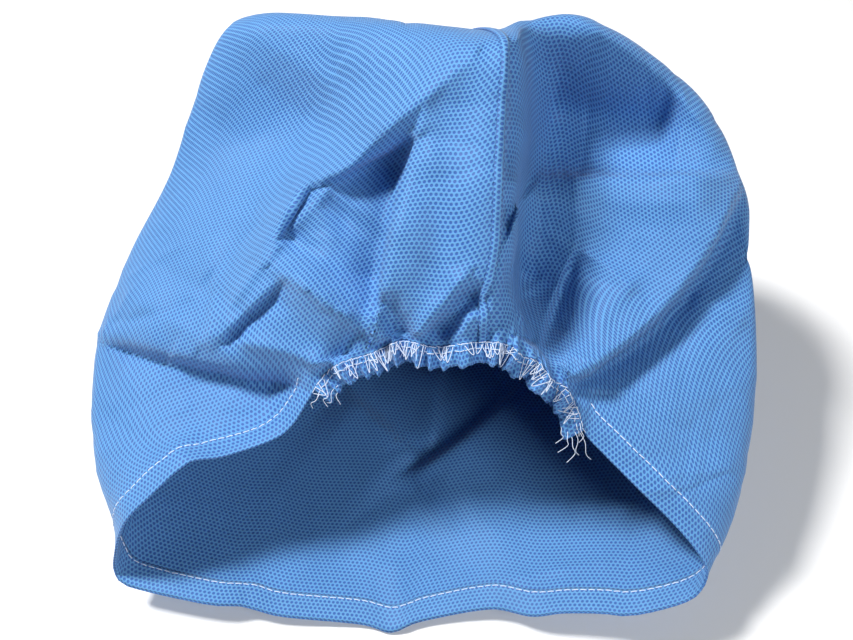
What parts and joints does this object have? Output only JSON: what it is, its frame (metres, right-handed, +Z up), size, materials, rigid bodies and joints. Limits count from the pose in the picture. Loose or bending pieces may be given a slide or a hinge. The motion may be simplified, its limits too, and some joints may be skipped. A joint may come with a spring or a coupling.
{
  "type": "disposable surgical cap",
  "caption": "Blue nonwoven surgical cap lying on its front panel, open mouth forward, seam over the crown, stitched hem and gathered elastic nape.",
  "frame": {"origin": "the middle of the footprint, on the surface that the cap lies on", "axes": "+Z up, -Y the way the open mouth faces, +X to the right as one looks into the mouth"},
  "size_m": [0.256, 0.2136, 0.1719],
  "materials": {
    "cloth": "bonded nonwoven, matt, with a small dot pattern",
    "band": "the same cloth bunched over elastic",
    "thread": "white sewing thread, soft sheen"
  },
  "bodies": {
    "root": {"cap_body": "cloth", "front_hem": "cloth", "crown_seam": "cloth", "nape_band": "band"}
  },
  "joints": []
}
